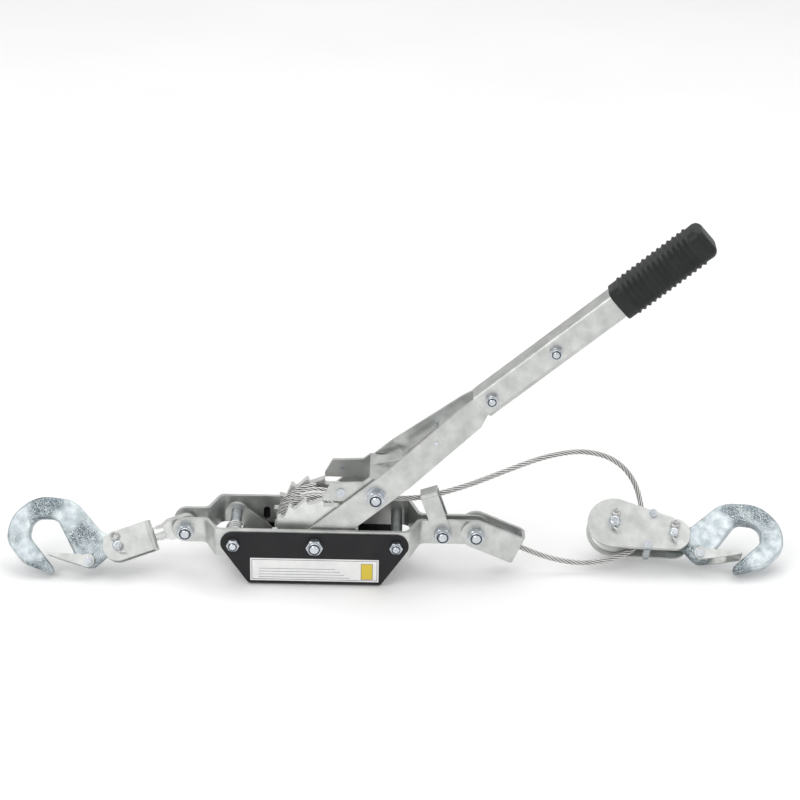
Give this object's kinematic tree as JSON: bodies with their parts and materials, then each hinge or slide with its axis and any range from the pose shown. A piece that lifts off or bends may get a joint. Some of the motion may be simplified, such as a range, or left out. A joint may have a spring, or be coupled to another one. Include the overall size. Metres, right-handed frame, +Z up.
{
  "type": "come along winch",
  "caption": "Hand cranked wire rope puller: ratchet drum between side bars, lever handle with pawl, swivel anchor hook and pulley block with load hook.",
  "frame": {"origin": "middle of the guard's flat underside, straight below the main axle", "axes": "+X from the anchor hook towards the pulley block, +Y away from the user's side, +Z up"},
  "size_m": [0.6757, 0.0964, 0.3295],
  "materials": {
    "zinc_plate": "light zinc plating, satin, slightly mottled",
    "bright_zinc": "bright zinc plating",
    "black_paint": "satin black paint",
    "label": "blank white film with a thin printed border",
    "nylon": "dark nylon",
    "spring_steel": "drawn wire",
    "wire_rope": "galvanised stranded wire",
    "wheel_steel": "punched plate, zinc plated",
    "grip_plastic": "black ribbed moulding",
    "forged_steel": "rough forged, bright zinc plated"
  },
  "bodies": {
    "frame": {"near_side_bar": "zinc_plate", "far_side_bar": "zinc_plate", "guard": "black_paint", "guard_label": "label", "axle_bolt": "bright_zinc", "tang_bolts": "bright_zinc", "large_lock_nuts": "bright_zinc", "guard_bolts": "bright_zinc", "small_lock_nuts": "bright_zinc", "nut_inserts": "nylon", "spacer_sleeve": "bright_zinc", "pawl_sleeve": "bright_zinc", "axle_washers": "bright_zinc", "pawl_spring": "spring_steel", "free_rope": "wire_rope"},
    "drum": {"near_ratchet_wheel": "wheel_steel", "far_ratchet_wheel": "wheel_steel", "drum_hub": "wheel_steel", "drum_ties": "bright_zinc", "wound_rope": "wire_rope"},
    "holding_pawl": {"holding_pawl": "zinc_plate"},
    "handle": {"near_handle_arm": "zinc_plate", "far_handle_arm": "zinc_plate", "grip": "grip_plastic", "handle_bolts": "bright_zinc", "handle_lock_nuts": "bright_zinc", "handle_nut_inserts": "nylon", "pawl_pivot_bolt": "bright_zinc", "pawl_pivot_nut": "bright_zinc", "pawl_pivot_washers": "bright_zinc", "spring_anchor_pin": "bright_zinc", "drive_pawl_spring": "spring_steel"},
    "drive_pawl": {"drive_pawl": "zinc_plate", "drive_pawl_rivets": "bright_zinc"},
    "keeper": {"keeper_strap": "zinc_plate"},
    "rope_clevis": {"rope_clevis": "zinc_plate", "rope_stop": "bright_zinc"},
    "anchor_link": {"anchor_link": "wheel_steel"},
    "anchor_clevis": {"swivel_clevis": "zinc_plate", "anchor_pin": "bright_zinc", "anchor_split_pin": "spring_steel"},
    "anchor_hook": {"anchor_hook": "forged_steel", "anchor_latch_rivet": "bright_zinc", "anchor_latch_spring": "spring_steel"},
    "anchor_latch": {"anchor_latch": "zinc_plate"},
    "pulley_block": {"near_cheek": "zinc_plate", "far_cheek": "zinc_plate", "sheave_pin": "bright_zinc", "block_spacers": "bright_zinc", "block_hook_pin": "bright_zinc", "block_split_pins": "spring_steel"},
    "sheave": {"sheave": "wheel_steel"},
    "block_hook": {"block_hook": "forged_steel", "block_latch_rivet": "bright_zinc", "block_latch_spring": "spring_steel"},
    "block_latch": {"block_latch": "zinc_plate"}
  },
  "joints": [
    {"name": "handle_pivot", "type": "hinge", "parent": "frame", "child": "handle", "pos_m": [0, 0, 0.04], "axis": [0, -1, 0], "range_deg": [-8, 90]},
    {"name": "drum_spin", "type": "hinge", "parent": "frame", "child": "drum", "pos_m": [0, 0, 0.04], "axis": [0, -1, 0], "continuous": true},
    {"name": "holding_pawl_pivot", "type": "hinge", "parent": "frame", "child": "holding_pawl", "pos_m": [-0.07, 0, 0.04], "axis": [0, -1, 0], "range_deg": [-14, 6.4]},
    {"name": "drive_pawl_pivot", "type": "hinge", "parent": "handle", "child": "drive_pawl", "pos_m": [0.0519, 0, 0.0852], "axis": [0, -1, 0], "range_deg": [-20, 5.6], "deforming": ["drive_pawl_spring"]},
    {"name": "keeper_pivot", "type": "hinge", "parent": "frame", "child": "keeper", "pos_m": [0.11, 0, 0.04], "axis": [0, -1, 0], "range_deg": [-18, 4]},
    {"name": "rope_clevis_pivot", "type": "hinge", "parent": "frame", "child": "rope_clevis", "pos_m": [0.139, 0, 0.04], "axis": [0, -1, 0], "range_deg": [-8, 8], "deforming": ["free_rope"]},
    {"name": "anchor_link_pivot", "type": "hinge", "parent": "frame", "child": "anchor_link", "pos_m": [-0.1124, 0, 0.04], "axis": [0, -1, 0], "range_deg": [-106, 73]},
    {"name": "anchor_swivel", "type": "hinge", "parent": "anchor_link", "child": "anchor_clevis", "pos_m": [-0.14127, -0.00639, 0.03156], "axis": [-0.9388, -0.2079, -0.2745], "continuous": true},
    {"name": "anchor_hook_pivot", "type": "hinge", "parent": "anchor_clevis", "child": "anchor_hook", "pos_m": [-0.17061, -0.01289, 0.02298], "axis": [-0.0085, 0.8109, -0.5851], "range_deg": [-75, 35]},
    {"name": "anchor_latch_pivot", "type": "hinge", "parent": "anchor_hook", "child": "anchor_latch", "pos_m": [-0.19577, -0.02102, 0.01208], "axis": [-0.0085, 0.8109, -0.5851], "range_deg": [0, 24], "stiffness_Nm_per_rad": 0.03, "springref_deg": -22.92},
    {"name": "block_swing", "type": "hinge", "parent": "frame", "child": "pulley_block", "pos_m": [0.2606, 0.024, 0.031], "axis": [0, -0.5878, 0.809], "range_deg": [-10, 10]},
    {"name": "sheave_spin", "type": "hinge", "parent": "pulley_block", "child": "sheave", "pos_m": [0.2606, 0.024, 0.031], "axis": [0, -0.5878, 0.809], "continuous": true},
    {"name": "block_hook_pivot", "type": "hinge", "parent": "pulley_block", "child": "block_hook", "pos_m": [0.31206, 0.01598, 0.02518], "axis": [0, -0.5878, 0.809], "range_deg": [-50, 35]},
    {"name": "block_latch_pivot", "type": "hinge", "parent": "block_hook", "child": "block_latch", "pos_m": [0.33512, 0.0023, 0.01524], "axis": [0, -0.5878, 0.809], "range_deg": [0, 24], "stiffness_Nm_per_rad": 0.03, "springref_deg": -22.92}
  ]
}
